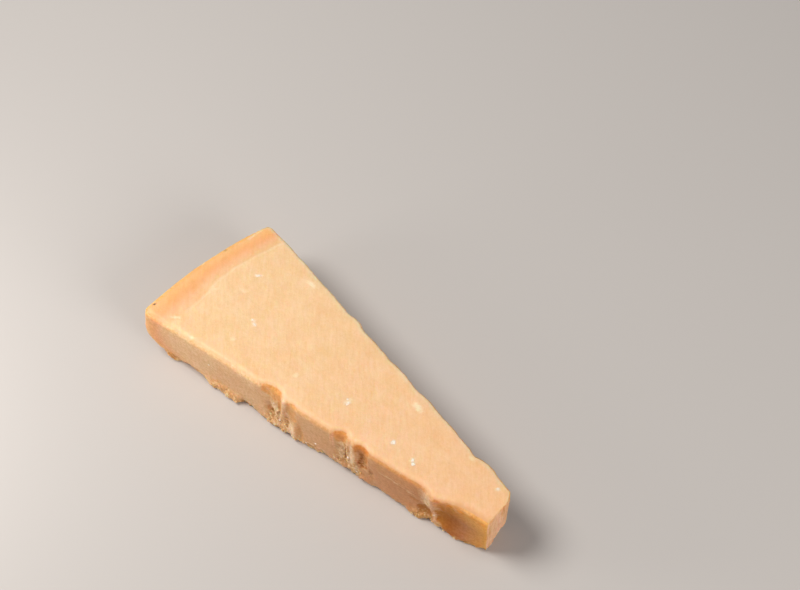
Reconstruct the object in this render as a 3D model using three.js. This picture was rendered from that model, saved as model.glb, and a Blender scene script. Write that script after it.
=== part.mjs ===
// A chunk of hard grating cheese, cut from a big wheel: one solid piece.
// Two upright cut sides run in towards the wheel's middle and carry the places where the paste
// broke instead of being cut. The wide end is the wheel's rind, which turns under at its lower
// shoulder, and the narrow end is blunt, because the middle of the wheel was trimmed away.
// Millimetres, +X from the rind to the tip, +Z up, origin in the middle of the base.

import * as THREE from 'three';
import { ImprovedNoise } from 'three/addons/math/ImprovedNoise.js';

const { degToRad, smoothstep, lerp } = THREE.MathUtils;

// Driving dimensions of the cut. x is counted from the middle of the rind's chord.
const THICKNESS = 30;
const WHEEL_RADIUS = 205;
const WHEEL_MIDDLE = new THREE.Vector2( 206, 0.8 );
const FRONT_SIDE = { angle: degToRad( 9.17 ), rind: 218.0, tip: 45.3 };
const BACK_SIDE = { angle: degToRad( 9.0 ), rind: 209.2, tip: 45.6 };

// How far each upright corner is rounded off.
const RIND_FRONT_ROUND = 3.4;
const RIND_BACK_ROUND = 1.6;
const TIP_FRONT_ROUND = 0.9;
const TIP_BACK_ROUND = 2.1;

// The rind's barrel shape above, and its turn under the wheel below.
const RIND_BULGE = 1.2;
const SHOULDER_RISE = 12;
const SHOULDER_RUN = 12;
const SHOULDER_FADE = 45;
const SHOULDER_POWER = 1.3;

// The long edges: both slightly worn, and the lower one crumbled as well.
const EDGE_WEAR = 0.5;
const EDGE_HEIGHT = 0.8;
const CRUMBLE_DEPTH = 1.6;
const CRUMBLE_HEIGHT = 4.5;
const CRUMBLE_LENGTH = 6;

// Surface unevenness: slow waves on the cut faces, sharper facets where the paste broke.
const WAVE_DEPTH = 0.3;
const WAVE_LENGTH = 14;
const FACET_DEPTH = 0.9;
const FACET_LENGTH = 4.5;

// Mesh fineness.
const OUTLINE_POINTS = 204;
const SECTION_COUNT = 15;

// Broken places on the two sides. x along the chunk, z up from the base, halfLength and
// halfHeight the reach, depth inwards (negative stands proud), flat the share of the reach
// that is at full depth, rough how much facet noise the place carries.
const BREAKS = [
	{ side: 'front', x: 98, z: 15, halfLength: 62, halfHeight: 80, depth: - 1.3, flat: 0.2, rough: 0 },
	{ side: 'front', x: 58.5, z: 24, halfLength: 7.5, halfHeight: 12, depth: 2.2, flat: 0.35, rough: 0.5 },
	{ side: 'front', x: 57.5, z: 13, halfLength: 4.5, halfHeight: 6, depth: 1.5, flat: 0.2, rough: 0.8 },
	{ side: 'front', x: 66.5, z: 17, halfLength: 3.4, halfHeight: 5, depth: 1.9, flat: 0.3, rough: 0.8 },
	{ side: 'front', x: 67, z: 4.5, halfLength: 7, halfHeight: 6, depth: - 1.5, flat: 0.2, rough: 1 },
	{ side: 'front', x: 91.7, z: 24, halfLength: 4.6, halfHeight: 16, depth: 3.1, flat: 0.5, rough: 0.7 },
	{ side: 'front', x: 102, z: 20.5, halfLength: 4.6, halfHeight: 7.5, depth: 3.1, flat: 0.4, rough: 0.4 },
	{ side: 'front', x: 101, z: 4, halfLength: 6, halfHeight: 5, depth: - 0.9, flat: 0.2, rough: 1 },
	{ side: 'front', x: 138.6, z: 23, halfLength: 5, halfHeight: 16, depth: - 3, flat: 0.25, rough: 0.8 },
	{ side: 'front', x: 133.5, z: 8.5, halfLength: 4, halfHeight: 4.5, depth: 1.6, flat: 0.3, rough: 0.8 },
	{ side: 'front', x: 128, z: 0, halfLength: 9, halfHeight: 5, depth: - 1.4, flat: 0.3, rough: 1 },
	{ side: 'front', x: 151, z: 14, halfLength: 10, halfHeight: 13, depth: 1.8, flat: 0.5, rough: 0 },
	{ side: 'front', x: 8, z: 0, halfLength: 3.5, halfHeight: 6.5, depth: 2, flat: 0.2, rough: 0.6 },
	{ side: 'front', x: 13, z: - 1, halfLength: 11, halfHeight: 6, depth: 1.5, flat: 0.3, rough: 0.6 },
	{ side: 'back', x: 120, z: 15, halfLength: 60, halfHeight: 80, depth: - 1.2, flat: 0.3, rough: 0 },
	{ side: 'back', x: 60, z: 24, halfLength: 5.5, halfHeight: 14, depth: - 1.5, flat: 0.2, rough: 0.8 },
	{ side: 'back', x: 52, z: 17, halfLength: 5, halfHeight: 14, depth: 1.4, flat: 0.3, rough: 0.6 },
	{ side: 'back', x: 56, z: 6, halfLength: 9, halfHeight: 7, depth: 1.9, flat: 0.3, rough: 1 },
	{ side: 'back', x: 90, z: 25, halfLength: 8, halfHeight: 12, depth: - 0.6, flat: 0.6, rough: 0.5 },
	{ side: 'back', x: 101, z: 18, halfLength: 5, halfHeight: 13, depth: 1.9, flat: 0.4, rough: 0.8 },
	{ side: 'back', x: 136, z: 16, halfLength: 4, halfHeight: 15, depth: 1.8, flat: 0.4, rough: 0.8 },
	{ side: 'back', x: 145, z: 24, halfLength: 8, halfHeight: 12, depth: - 0.9, flat: 0.4, rough: 0.4 },
];

const noise = new ImprovedNoise();

// A point on one of the two sides, at a distance from the wheel's middle.
function pointOnSide( side, direction, distance ) {

	const x = WHEEL_MIDDLE.x - distance * Math.cos( side.angle );
	const y = WHEEL_MIDDLE.y + direction * distance * Math.sin( side.angle );
	return new THREE.Vector2( x, y );

}

// The centre of the rind's arc through its two corners, on the side of the tip.
function rindArcCentre( front, back ) {

	const chord = new THREE.Vector2().subVectors( back, front );
	const middle = new THREE.Vector2().addVectors( front, back ).multiplyScalar( 0.5 );
	const height = Math.sqrt( WHEEL_RADIUS ** 2 - chord.lengthSq() / 4 );
	const towardsTip = new THREE.Vector2( chord.y, - chord.x ).setLength( height );
	return middle.add( towardsTip );

}

// Runs the path straight to a corner and rounds it off with one curve.
function addRoundedCorner( path, corner, next, size ) {

	const before = new THREE.Vector2().subVectors( path.currentPoint, corner ).setLength( size );
	const after = new THREE.Vector2().subVectors( next, corner ).setLength( size );
	before.add( corner );
	after.add( corner );
	path.lineTo( before.x, before.y );
	path.quadraticCurveTo( corner.x, corner.y, after.x, after.y );

}

// The wedge seen from above, anticlockwise: front side, tip, back side, rind.
function wedgeOutline() {

	const frontRind = pointOnSide( FRONT_SIDE, - 1, FRONT_SIDE.rind );
	const frontTip = pointOnSide( FRONT_SIDE, - 1, FRONT_SIDE.tip );
	const backTip = pointOnSide( BACK_SIDE, 1, BACK_SIDE.tip );
	const backRind = pointOnSide( BACK_SIDE, 1, BACK_SIDE.rind );
	const centre = rindArcCentre( frontRind, backRind );
	const backAngle = Math.atan2( backRind.y - centre.y, backRind.x - centre.x );
	const frontAngle = Math.atan2( frontRind.y - centre.y, frontRind.x - centre.x ) + 2 * Math.PI;
	const arcStart = backAngle + RIND_BACK_ROUND / WHEEL_RADIUS;
	const arcEnd = frontAngle - RIND_FRONT_ROUND / WHEEL_RADIUS;
	const start = pointOnSide( FRONT_SIDE, - 1, FRONT_SIDE.rind - RIND_FRONT_ROUND );

	const path = new THREE.Path();
	path.moveTo( start.x, start.y );
	addRoundedCorner( path, frontTip, backTip, TIP_FRONT_ROUND );
	addRoundedCorner( path, backTip, backRind, TIP_BACK_ROUND );
	addRoundedCorner( path, backRind, frontRind, RIND_BACK_ROUND );
	path.absarc( centre.x, centre.y, WHEEL_RADIUS, arcStart, arcEnd, false );
	path.quadraticCurveTo( frontRind.x, frontRind.y, start.x, start.y );
	return path;

}

// Evenly spaced outline points, each with its outward direction.
function outlinePoints() {

	const points = wedgeOutline().getSpacedPoints( OUTLINE_POINTS ).slice( 0, OUTLINE_POINTS );
	return points.map( ( point, i ) => {

		const next = points[ ( i + 1 ) % OUTLINE_POINTS ];
		const previous = points[ ( i + OUTLINE_POINTS - 1 ) % OUTLINE_POINTS ];
		const along = new THREE.Vector2().subVectors( next, previous ).normalize();
		return { point, outward: new THREE.Vector2( along.y, - along.x ) };

	} );

}

// Heights of the sections: even steps, with one close to each face for the worn edges.
function sectionHeights() {

	const low = EDGE_HEIGHT;
	const high = THICKNESS - EDGE_HEIGHT;
	const heights = [ 0 ];
	for ( let i = 0; i < SECTION_COUNT; i ++ ) {

		heights.push( lerp( low, high, i / ( SECTION_COUNT - 1 ) ) );

	}

	heights.push( THICKNESS );
	return heights;

}

// How far the broken places cut into a side at one spot, and how rough the spot is.
function breakAt( side, x, z ) {

	let depth = 0;
	let rough = 0;
	for ( const place of BREAKS ) {

		if ( place.side !== side ) continue;
		const reach = Math.hypot( ( x - place.x ) / place.halfLength, ( z - place.z ) / place.halfHeight );
		const share = 1 - smoothstep( reach, place.flat, 1 );
		depth += place.depth * share;
		rough = Math.max( rough, place.rough * share );

	}

	return { depth, rough };

}

// How far the foot of a side has crumbled away.
function crumbleAt( x, y, z ) {

	const share = 1 - smoothstep( z, 0, CRUMBLE_HEIGHT );
	const amount = 0.5 + noise.noise( x / CRUMBLE_LENGTH, y / CRUMBLE_LENGTH, 3.7 );
	return CRUMBLE_DEPTH * share * Math.max( 0, amount );

}

// Inward offset of the upright walls at one spot.
function wallDepth( x, y, z, outward ) {

	const sideShare = smoothstep( Math.abs( outward.y ), 0.6, 0.95 );
	const side = outward.y < 0 ? 'front' : 'back';
	const { depth, rough } = breakAt( side, x, z );
	const wave = WAVE_DEPTH * noise.noise( x / WAVE_LENGTH, y / WAVE_LENGTH, z / WAVE_LENGTH );
	const facet = Math.abs( noise.noise( x / FACET_LENGTH, y / FACET_LENGTH, z / FACET_LENGTH ) );
	const towardsTop = smoothstep( z, THICKNESS - EDGE_HEIGHT, THICKNESS );
	const towardsBase = 1 - smoothstep( z, 0, EDGE_HEIGHT );
	const worn = EDGE_WEAR * ( towardsTop + towardsBase );
	const broken = depth + FACET_DEPTH * rough * facet + crumbleAt( x, y, z );
	return wave + worn + sideShare * broken;

}

// How far the rind lies inside the top edge's outline: a barrel bulge, then the shoulder.
function rindRetreat( z ) {

	const barrel = Math.sin( Math.PI * z / THICKNESS );
	const under = Math.max( 0, SHOULDER_RISE - z ) / SHOULDER_RISE;
	return SHOULDER_RUN * under ** SHOULDER_POWER - RIND_BULGE * barrel;

}

// One section of the chunk at a height: the outline drawn in towards the wheel's middle
// for the rind, then pushed in along its normals for the breaks and worn edges.
function sectionAt( outline, z ) {

	return outline.map( ( { point, outward } ) => {

		const toMiddle = new THREE.Vector2().subVectors( WHEEL_MIDDLE, point );
		const fromRind = FRONT_SIDE.rind - toMiddle.length();
		const rindShare = 1 - smoothstep( fromRind, 0, SHOULDER_FADE );
		const depth = wallDepth( point.x, point.y, z, outward );
		const moved = point.clone();
		moved.addScaledVector( toMiddle.normalize(), rindRetreat( z ) * rindShare );
		moved.addScaledVector( outward, - depth );
		return moved;

	} );

}

// Stacks the sections into one closed body with a flat top and a flat base.
function chunkGeometry() {

	const outline = outlinePoints();
	const heights = sectionHeights();
	const sections = heights.map( ( z ) => sectionAt( outline, z ) );
	const topLevel = heights.length - 1;
	const positions = [];
	const index = [];
	sections.forEach( ( section, level ) => {

		section.forEach( ( { x, y } ) => positions.push( x, y, heights[ level ] ) );

	} );

	const corner = ( level, i ) => level * OUTLINE_POINTS + i % OUTLINE_POINTS;
	for ( let level = 0; level < topLevel; level ++ ) {

		for ( let i = 0; i < OUTLINE_POINTS; i ++ ) {

			index.push( corner( level, i ), corner( level, i + 1 ), corner( level + 1, i + 1 ) );
			index.push( corner( level, i ), corner( level + 1, i + 1 ), corner( level + 1, i ) );

		}

	}

	for ( const [ a, b, c ] of THREE.ShapeUtils.triangulateShape( sections[ topLevel ], [] ) ) {

		index.push( corner( topLevel, a ), corner( topLevel, b ), corner( topLevel, c ) );

	}

	for ( const [ a, b, c ] of THREE.ShapeUtils.triangulateShape( sections[ 0 ], [] ) ) {

		index.push( corner( 0, a ), corner( 0, c ), corner( 0, b ) );

	}

	const geometry = new THREE.BufferGeometry();
	geometry.setAttribute( 'position', new THREE.Float32BufferAttribute( positions, 3 ) );
	geometry.setIndex( index );
	geometry.computeVertexNormals();
	return geometry;

}

// Puts the origin under the middle of the bounding box.
function centreOverOrigin( geometry ) {

	geometry.computeBoundingBox();
	const middle = geometry.boundingBox.getCenter( new THREE.Vector3() );
	geometry.translate( - middle.x, - middle.y, 0 );
	return geometry;

}

const paste = new THREE.MeshStandardMaterial( { color: 0xf7c897, roughness: 0.6, metalness: 0 } );
const chunk = new THREE.Mesh( centreOverOrigin( chunkGeometry() ), paste );
chunk.name = 'chunk';

const part = new THREE.Group();
part.add( chunk );

export default part;
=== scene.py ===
import math
import random
from bisect import bisect_right
from collections import namedtuple

import bmesh
import bpy
from mathutils import Matrix, Vector, noise
from mathutils.bvhtree import BVHTree


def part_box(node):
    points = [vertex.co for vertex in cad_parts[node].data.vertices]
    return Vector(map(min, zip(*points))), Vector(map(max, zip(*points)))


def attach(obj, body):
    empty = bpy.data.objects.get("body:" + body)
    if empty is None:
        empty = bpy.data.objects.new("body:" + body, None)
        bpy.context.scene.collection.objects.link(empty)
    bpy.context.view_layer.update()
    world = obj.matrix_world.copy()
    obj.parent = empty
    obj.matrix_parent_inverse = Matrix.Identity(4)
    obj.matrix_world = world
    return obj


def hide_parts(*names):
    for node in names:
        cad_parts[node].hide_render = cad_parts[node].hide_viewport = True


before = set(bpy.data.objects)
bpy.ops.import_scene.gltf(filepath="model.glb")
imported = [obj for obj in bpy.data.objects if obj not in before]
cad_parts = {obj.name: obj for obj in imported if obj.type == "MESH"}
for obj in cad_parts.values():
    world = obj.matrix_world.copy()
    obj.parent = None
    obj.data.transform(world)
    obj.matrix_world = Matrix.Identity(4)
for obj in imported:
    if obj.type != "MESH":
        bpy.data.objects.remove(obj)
scene = bpy.context.scene
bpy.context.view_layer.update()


# --- The paste ----------------------------------------------------------------------------
# The chunk itself, one piece of aged hard cheese. Its top, base and sides were cut from the
# wheel with a blade, and along the sides the brittle paste broke away in flakes and crumbs.
# The rind is the same paste, dried hard and golden, so it is a finish of this piece.

MM = 0.001
MESH_STEP = 0.68 * MM

low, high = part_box("chunk")
THICKNESS = (high.z - low.z) / MM

# Places on a side are in millimetres: along from the rind's end, up from the base.
# A scoop is a flat-bottomed scar, reaching so far to each side of its deepest point. Its tone
# is how far the deep orange of the fresh paste, with painted shade in the hollow, shows in it.
Scoop = namedtuple("Scoop", "along up to_rind to_tip below above depth tone")
# A ridge is a thin flake left standing proud along a line, as wide at its foot as told.
Ridge = namedtuple("Ridge", "height width points")
# A crumbly place broke in grains: its middle, its half sizes and how rough it is.
Crumbly = namedtuple("Crumbly", "along up half_length half_height rough")
# A layer line is a step where the paste above stands proud of the paste below.
Layer = namedtuple("Layer", "step points")
# A pale smear is powdery paste, or crystals just under the face: middle, half sizes, turn and
# strength. On a side the second number is up, on the top it is across the chunk.
Smear = namedtuple("Smear", "along other length width turn strength")
# A side's cut plane bulges a little in the middle of its length: where, how far and how much.
# Its upper edge is worn round, by a radius that changes along it. Its stations tell how far it
# lies inside the cut plane at four heights, and its top and foot how far the edges lie inside
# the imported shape's.
Side = namedtuple(
    "Side",
    "facing slope start bulge edge_round stations top foot scoops ridges crumbly layers smears",
)
STATION_HEIGHTS = (5.0, 12.0, 21.0, 30.0)

FRONT = Side(
    facing=-1.0,
    slope=math.radians(9.17),
    start=-33.9,
    bulge=(108.7, 62.0, 1.3),
    edge_round=[(149.0, 3.2), (158.0, 5.4)],
    stations=[
        (59.5, (0.0, 0.0, 0.0, 0.0)),
        (62.0, (0.0, 0.0, 0.2, 0.6)),
        (64.0, (0.0, 0.2, 0.6, 1.3)),
        (66.0, (0.2, 0.8, 1.1, 1.9)),
        (68.0, (0.3, 0.9, 1.0, 2.2)),
        (70.0, (0.1, 0.5, 0.9, 2.2)),
        (72.0, (-0.2, 0.2, 0.7, 1.7)),
        (73.6, (-0.4, 0.1, 0.2, 0.8)),
        (75.2, (-0.5, 0.3, 0.5, 0.4)),
        (77.5, (-0.7, -0.1, 0.6, 0.5)),
        (79.8, (-1.2, -0.6, 0.3, 0.2)),
        (82.5, (0.2, 0.3, 0.1, 0.0)),
        (85.0, (0.0, 0.0, 0.0, 0.0)),
        (97.5, (0.0, 0.0, 0.0, 0.0)),
        (99.5, (0.0, 0.2, 0.3, 0.7)),
        (101.5, (0.1, 0.5, 0.8, 1.8)),
        (103.3, (0.2, 0.8, 1.1, 2.3)),
        (104.6, (0.2, 0.9, 1.2, 2.1)),
        (105.8, (0.0, 0.4, 0.9, 1.3)),
        (107.5, (-0.3, 0.0, 0.4, 0.8)),
        (109.3, (-0.5, -0.4, 0.0, 0.4)),
        (111.5, (-0.2, 0.4, 1.0, 1.0)),
        (113.5, (-0.1, 0.3, 0.9, 1.0)),
        (115.3, (0.0, 0.1, 0.3, 0.4)),
        (117.5, (0.0, 0.3, 0.1, 0.0)),
        (120.0, (0.0, 0.0, 0.0, 0.0)),
        (138.0, (0.0, 0.0, 0.0, 0.0)),
        (140.5, (0.3, 0.2, 0.0, 0.0)),
        (143.0, (0.9, 0.6, -0.4, -0.3)),
        (145.5, (1.3, 0.6, -1.4, -1.4)),
        (147.5, (0.6, -0.4, -2.0, -2.4)),
        (149.2, (-0.4, -0.2, -1.4, -2.6)),
        (151.0, (-0.9, 0.5, 0.1, -2.0)),
        (153.0, (-1.1, 0.6, 0.3, -1.5)),
        (156.0, (-1.0, 0.6, 0.4, -0.8)),
        (160.0, (-0.5, 0.5, 0.4, -0.1)),
        (165.0, (-0.2, 0.4, 0.3, 0.0)),
        (169.0, (0.0, 0.2, 0.2, 0.0)),
        (172.0, (0.0, 0.0, 0.0, 0.0)),
    ],
    top=[],
    foot=[
        (9.0, 0.0), (12.0, -1.0), (14.5, -0.9), (18.0, 0.2), (26.0, -0.3), (31.0, -0.7), (38.0, -1.5),
        (45.0, -1.9), (49.0, -1.8), (51.5, 0.0), (55.0, 0.6), (58.0, 0.0), (61.0, -0.5), (65.0, -1.0),
        (70.0, -1.5), (73.0, -1.0), (77.0, 0.5), (80.0, -0.4), (88.0, -0.5), (92.0, 0.6), (96.0, 0.4),
        (100.0, 0.0), (104.0, -0.4), (108.0, 1.0), (110.0, 1.4), (112.0, 0.5), (115.0, -0.3), (119.0, 0.2),
        (125.0, -0.3), (134.0, -0.6), (139.0, -1.5), (142.0, -2.0), (145.0, -1.4), (147.0, -1.0),
        (150.0, -1.4), (156.0, -2.3), (159.0, -2.3), (163.0, -1.9), (168.0, -1.2), (172.0, -0.6),
    ],
    scoops=[
        Scoop(67.8, 26.5, 6.0, 4.4, 4.6, 9.0, 0.35, 0.75),
        Scoop(67.6, 11.5, 2.7, 2.2, 4.0, 4.4, 0.3, 0.6),
        Scoop(71.4, 22.0, 1.2, 1.2, 7.0, 9.0, 0.4, 0.7),
        Scoop(77.6, 22.5, 2.4, 3.6, 7.0, 10.0, 0.3, 0.55),
        Scoop(75.9, 9.5, 0.9, 1.1, 4.0, 4.0, 0.3, 0.6),
        Scoop(82.0, 8.0, 2.4, 2.2, 6.0, 8.0, 0.2, 0.35),
        Scoop(101.6, 27.5, 3.2, 3.2, 6.0, 9.0, 0.35, 0.7),
        Scoop(104.7, 15.5, 0.8, 0.7, 5.5, 6.0, 0.7, 0.95),
        Scoop(112.8, 28.0, 3.8, 4.2, 8.0, 8.0, 0.2, 0.8),
        Scoop(113.2, 16.5, 3.2, 2.6, 5.0, 8.0, 0.6, 1.0),
        Scoop(117.9, 13.0, 1.6, 2.2, 5.0, 4.0, 0.15, 0.25),
        Scoop(138.5, 14.6, 3.0, 3.0, 1.4, 1.2, 0.3, 0.4),
        Scoop(143.8, 6.5, 4.4, 3.8, 8.0, 7.5, 0.6, 0.8),
        Scoop(157.0, 17.0, 9.4, 60.0, 60.0, 12.2, 0.45, 1.0),
        Scoop(14.5, 4.0, 2.5, 3.5, 2.5, 2.5, 0.5, 0.5),
        Scoop(52.5, 2.5, 3.0, 3.0, 3.0, 2.5, 0.4, 0.5),
    ],
    ridges=[
        Ridge(0.7, 0.9, [(67.0, 19.5), (69.0, 15.0), (69.9, 10.0), (71.0, 4.0)]),
        Ridge(0.8, 0.8, [(74.6, 30.0), (73.8, 22.0), (73.2, 17.0), (72.2, 11.0)]),
        Ridge(0.5, 0.6, [(64.2, 27.5), (67.5, 24.5), (70.5, 23.5)]),
        Ridge(0.8, 0.9, [(105.7, 29.0), (105.6, 18.0), (106.3, 12.0), (107.4, 7.0)]),
        Ridge(0.4, 0.7, [(148.0, 28.0), (147.0, 22.0), (147.6, 16.0)]),
        Ridge(0.6, 0.8, [(143.0, 15.6), (146.4, 13.4), (148.4, 8.0), (149.6, 1.5)]),
    ],
    crumbly=[
        Crumbly(69.5, 11.0, 6.0, 9.5, 1.0),
        Crumbly(76.0, 10.0, 4.5, 8.0, 0.7),
        Crumbly(72.5, 2.5, 11.0, 4.5, 1.0),
        Crumbly(102.6, 14.0, 3.6, 12.0, 0.9),
        Crumbly(107.5, 9.0, 6.0, 7.0, 1.0),
        Crumbly(106.8, 18.0, 1.8, 7.0, 0.6),
        Crumbly(113.0, 17.0, 2.5, 8.0, 0.5),
        Crumbly(117.5, 12.0, 2.5, 5.0, 0.5),
        Crumbly(144.8, 20.0, 3.2, 9.0, 0.6),
        Crumbly(143.0, 3.0, 7.0, 4.5, 0.4),
        Crumbly(150.0, 3.5, 2.6, 4.0, 0.45),
        Crumbly(13.0, 3.0, 8.0, 5.0, 0.7),
        Crumbly(28.0, 3.0, 9.0, 4.5, 0.6),
        Crumbly(42.0, 2.5, 11.0, 6.5, 0.75),
        Crumbly(89.0, 3.0, 8.0, 5.0, 0.6),
    ],
    layers=[
        Layer(
            0.42,
            [(118.5, 20.6), (124.0, 20.0), (130.0, 19.2), (135.0, 18.4), (139.5, 16.6), (143.5, 15.4)],
        ),
        Layer(0.20, [(124.0, 22.5), (131.0, 21.5), (137.0, 20.6), (143.0, 20.0)]),
    ],
    smears=[
        Smear(68.8, 15.8, 2.0, 2.8, 0.0, 0.9),
        Smear(71.2, 11.0, 1.4, 6.0, 0.0, 0.5),
        Smear(102.8, 16.0, 2.8, 6.5, 0.0, 0.4),
        Smear(66.5, 1.6, 3.0, 1.0, 0.0, 0.45),
        Smear(78.2, 7.0, 2.7, 7.2, 0.0, 0.95),
        Smear(74.4, 26.0, 0.9, 6.5, 0.0, 0.75),
        Smear(71.0, 5.0, 1.2, 3.0, 0.0, 0.5),
        # Partly powdery paste, partly a painted highlight on this wall of the break.
        Smear(107.9, 16.6, 2.8, 6.4, 0.0, 1.0),
        Smear(107.4, 26.0, 2.0, 7.0, 0.0, 0.45),
        Smear(90.0, 9.0, 1.0, 0.9, 0.0, 0.8),
        Smear(84.8, 4.0, 1.1, 0.8, 0.0, 0.6),
        Smear(27.5, 3.4, 3.4, 0.9, -6.0, 0.45),
        Smear(43.0, 1.4, 4.6, 0.9, 0.0, 0.4),
        Smear(53.5, 5.0, 2.4, 1.2, 10.0, 0.5),
        Smear(87.5, 5.4, 2.6, 0.9, 8.0, 0.5),
        Smear(93.5, 6.2, 2.2, 0.8, 8.0, 0.45),
        Smear(110.8, 7.5, 1.2, 4.0, 0.0, 0.6),
        Smear(145.4, 22.0, 4.6, 12.0, 0.0, 0.55),
        Smear(148.4, 9.5, 0.8, 6.0, 0.0, 0.8),
        Smear(150.4, 3.6, 1.8, 3.0, 0.0, 0.4),
        Smear(127.5, 20.2, 5.5, 0.9, -4.0, 0.6),
        Smear(136.5, 18.8, 4.0, 0.7, -8.0, 0.5),
    ],
)
BACK = Side(
    facing=1.0,
    slope=math.radians(9.0),
    start=35.2,
    bulge=(130.7, 60.0, 1.2),
    edge_round=[(0.0, 1.1), (172.0, 1.1)],
    stations=[],
    top=[
        (16.0, 0.0), (26.0, -0.6), (85.0, -0.7), (94.0, -0.1), (108.0, 0.0), (118.0, -0.6),
        (144.5, -0.5), (148.3, -0.1), (151.0, -0.8), (154.0, -1.3), (158.0, -1.4), (161.0, -1.7),
        (165.0, -2.1), (168.5, -2.1), (171.5, -1.0),
    ],
    foot=[(150.0, 0.0), (165.0, 0.4), (172.0, 1.0)],
    scoops=[
        Scoop(62.5, 20.0, 3.0, 3.5, 8.0, 9.0, 0.6, 0.7),
        Scoop(68.5, 9.0, 3.5, 4.0, 6.0, 5.0, 0.7, 0.8),
        Scoop(111.5, 18.0, 2.4, 3.6, 8.0, 10.0, 0.6, 0.9),
        Scoop(117.5, 8.0, 3.2, 2.8, 5.0, 5.0, 0.5, 0.6),
        Scoop(147.0, 17.0, 2.4, 3.6, 9.0, 11.0, 0.6, 0.9),
    ],
    ridges=[
        Ridge(0.8, 0.9, [(66.8, 27.0), (67.4, 18.0), (65.8, 10.0)]),
        Ridge(0.8, 0.8, [(107.6, 27.0), (108.8, 18.0), (107.4, 7.0)]),
        Ridge(0.7, 0.8, [(143.0, 26.0), (143.6, 15.0), (145.4, 6.0)]),
    ],
    crumbly=[
        Crumbly(64.0, 14.0, 6.0, 13.0, 0.9),
        Crumbly(70.0, 5.0, 9.0, 6.5, 1.0),
        Crumbly(110.0, 12.0, 6.0, 13.0, 0.9),
        Crumbly(145.0, 12.0, 5.0, 13.0, 0.8),
        Crumbly(30.0, 2.0, 9.0, 5.0, 0.8),
    ],
    layers=[
        Layer(0.35, [(75.0, 19.0), (84.0, 17.0), (96.0, 16.0), (106.0, 13.5)]),
    ],
    smears=[
        Smear(66.5, 20.0, 1.5, 6.0, 0.0, 0.5),
        Smear(108.2, 17.0, 1.2, 7.0, 0.0, 0.55),
        Smear(72.0, 4.0, 3.0, 2.5, 0.0, 0.5),
        Smear(144.0, 12.0, 1.2, 7.0, 0.0, 0.5),
    ],
)

# A break keeps its depth this far under a side and then fades out, so it takes the rim along.
WARP_FULL = 4.0
WARP_REACH = 12.0
# The outline of a break wanders in a coarse and a fine pattern: the size and shift of each.
RAGGED = [(4.0, 0.26), (1.4, 0.16)]
SCOOP_WANDER = 2.2
# A scoop's wall slopes over this share of its squared reach, and the rest is its flat floor.
SCOOP_WALL = 0.6
# The foot of a side crumbled unevenly: how high up, and how far it waves in and out.
FOOT_HEIGHT = 4.5
FOOT_WAVE = 0.8
# Crumbly paste is made of lumps, with grains on them.
LUMP_SIZE = 2.4
LUMP_DEPTH = 0.5
GRAIN_SIZE = 0.85
GRAIN_DEPTH = 0.25
# An even face still swells a little.
SWELL_SIZE = 6.0
SWELL_HEIGHT = 0.12
# A layer's lip fades out upwards. It has a painted highlight line along it and a notch under it.
LIP_FADE = 1.6
LIP_HIGHLIGHT_WIDTH = 0.5
NOTCH_WIDTH = 0.9
# Small chips are out of the top's edge.
CHIP_SIZE = 2.6
CHIP_DEPTH = 0.25
# A round edge lies this share of its radius inside the sharp one, each way.
CORNER_LOSS = 0.29
# The top's worn front edge takes this share of the side's tone.
EDGE_TONE = 0.33
# The top lies a little low and isn't quite flat: the size and height of its waves.
TOP_SINK = 0.12
TOP_WAVES = [(5.0, 0.07), (1.6, 0.04)]

# The wheel's outside: the arc of the rind, its barrel shape and its turn under at the foot.
RIND_MIDDLE = Vector((120.3, -25.5))
RIND_RADIUS = 205.0
RIND_BULGE = 1.2
SHOULDER = 12.0
SHOULDER_POWER = 1.3
# The rind's band is wider towards the front.
RIND_THICKNESS = 10.9
RIND_WIDENING = 3.0
RIND_SINK = 0.3

# Small holes in the rind, on its top edge: across the chunk, in from the skin and how dark their painted
# shade is.
RIND_HOLES = [(-27.4, 1.4, 1.0), (-17.4, 0.6, 0.35), (11.6, 0.7, 0.35)]
HOLE_SIZE = 0.75
HOLE_DEPTH = 0.5

# The top's back edge and the line where the rind's band ends are painted paler, as painted highlights.
BACK_EDGE_HIGHLIGHT = 0.4
BACK_EDGE_HIGHLIGHT_WIDTH = 2.4
BAND_LINE_HIGHLIGHT = 0.4
BAND_LINE_HIGHLIGHT_WIDTH = 1.0

# The split tip has upright furrows and has lost a flake at its lower back corner.
FURROW_DEPTH = 0.3
TIP_CHIP_REACH = 10.0
TIP_CHIP_MOVE = Vector((-2.2, -1.0, 0.3))

TOP_SMEARS = [
    Smear(24.6, 12.2, 2.0, 0.9, 43.0, 0.9),
    Smear(38.6, -4.6, 1.5, 0.9, 0.0, 0.9),
    Smear(40.6, -5.6, 1.3, 0.9, -10.0, 1.0),
    Smear(14.1, -25.5, 2.2, 0.9, 35.0, 0.7),
    Smear(25.9, -27.6, 1.6, 0.8, 10.0, 0.8),
    Smear(38.8, -16.6, 1.5, 1.2, 60.0, 0.7),
    Smear(25.8, 2.9, 2.4, 1.3, 40.0, 0.45),
    Smear(16.2, -5.0, 1.6, 1.0, 40.0, 0.35),
    Smear(48.8, -25.4, 2.2, 0.8, -8.0, 0.8),
    Smear(32.2, -28.2, 1.6, 0.6, -8.0, 0.7),
    Smear(70.2, -10.6, 1.7, 1.1, 60.0, 0.7),
    Smear(94.2, -4.7, 2.0, 1.4, 90.0, 0.75),
    Smear(120.2, -5.3, 1.4, 1.2, 0.0, 0.7),
    Smear(131.9, -6.2, 1.9, 1.3, 140.0, 0.7),
    Smear(44.0, 24.6, 3.0, 1.2, -9.0, 0.7),
    Smear(117.0, 13.0, 3.2, 1.6, -9.0, 0.8),
    Smear(148.0, 11.2, 1.8, 1.0, -20.0, 0.6),
    Smear(164.6, 8.3, 1.2, 0.8, 43.0, 0.8),
    Smear(161.6, -8.2, 1.8, 0.7, 9.0, 0.7),
]


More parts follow.
